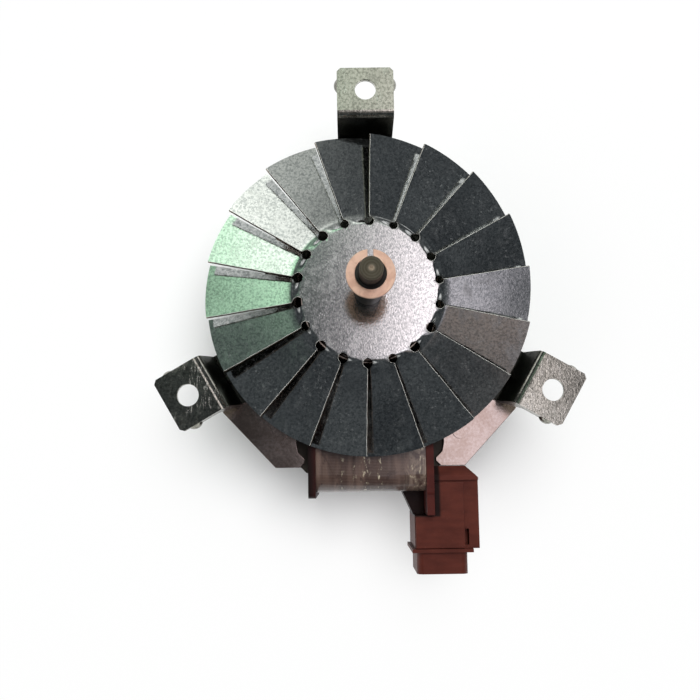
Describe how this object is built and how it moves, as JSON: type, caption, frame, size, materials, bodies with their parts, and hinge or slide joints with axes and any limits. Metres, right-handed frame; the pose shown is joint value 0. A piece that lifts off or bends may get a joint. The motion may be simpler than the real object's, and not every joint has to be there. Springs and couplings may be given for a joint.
{
  "type": "oven fan motor",
  "caption": "Shaded-pole oven fan motor: twisted-blade cooling disc on its shaft, pressed mounting spider with tabs, taped coil and plug housing.",
  "frame": {"origin": "centre of the circle through the three fixing holes, on the front face of the mounting tabs", "axes": "+Z along the shaft to its free end, +Y to the top mounting arm, +X to the side of the plug housing"},
  "size_m": [0.1168, 0.1421, 0.0729],
  "materials": {
    "spider_zinc": "satin galvanised sheet, scuffed",
    "fan_zinc": "bright galvanised sheet with fine spangle",
    "bracket_steel": "satin brown-tinted sheet",
    "rear_steel": "satin sheet",
    "rivet_steel": "bright",
    "laminations": "dark annealed sheet edges",
    "copper_bar": "dull copper",
    "bobbin_plastic": "satin red-brown",
    "copper_wire": "enamelled copper wire",
    "coil_tape": "glossy film tape over the wire",
    "connector_plastic": "satin red-brown, moulded",
    "terminal_brass": "bright brass",
    "sintered_bronze": "oil-soaked sintered bronze",
    "felt": "oiled felt",
    "retainer_steel": "bright spring steel",
    "shaft_steel": "ground steel",
    "rotor_steel": "turned sheet edges",
    "cage_aluminium": "as cast",
    "bush_steel": "turned",
    "ring_copper": "bright copper-plated",
    "washer_fibre": "natural fibre"
  },
  "bodies": {
    "stator": {"mounting_spider": "spider_zinc", "spider_rivets": "rivet_steel", "front_bracket": "bracket_steel", "rear_bracket": "rear_steel", "bracket_rivets": "rivet_steel", "lamination_stack": "laminations", "core_limb": "laminations", "shading_rings": "copper_bar", "coil_bobbin": "bobbin_plastic", "coil_winding": "copper_wire", "coil_tape": "coil_tape", "connector_housing": "connector_plastic", "connector_cover": "connector_plastic", "terminals": "terminal_brass", "front_bearing": "sintered_bronze", "rear_bearing": "sintered_bronze", "front_felt": "felt", "rear_felt": "felt", "front_retainer": "retainer_steel", "rear_retainer": "retainer_steel"},
    "rotor": {"shaft": "shaft_steel", "rotor_core": "rotor_steel", "rotor_cage": "cage_aluminium", "cooling_fan": "fan_zinc", "fan_bush": "bush_steel", "split_ring": "ring_copper", "front_washer": "washer_fibre", "rear_washer": "washer_fibre"}
  },
  "joints": [
    {"name": "shaft_spin", "type": "hinge", "parent": "stator", "child": "rotor", "pos_m": [0, 0, 0], "axis": [0, 0, 1], "continuous": true}
  ]
}
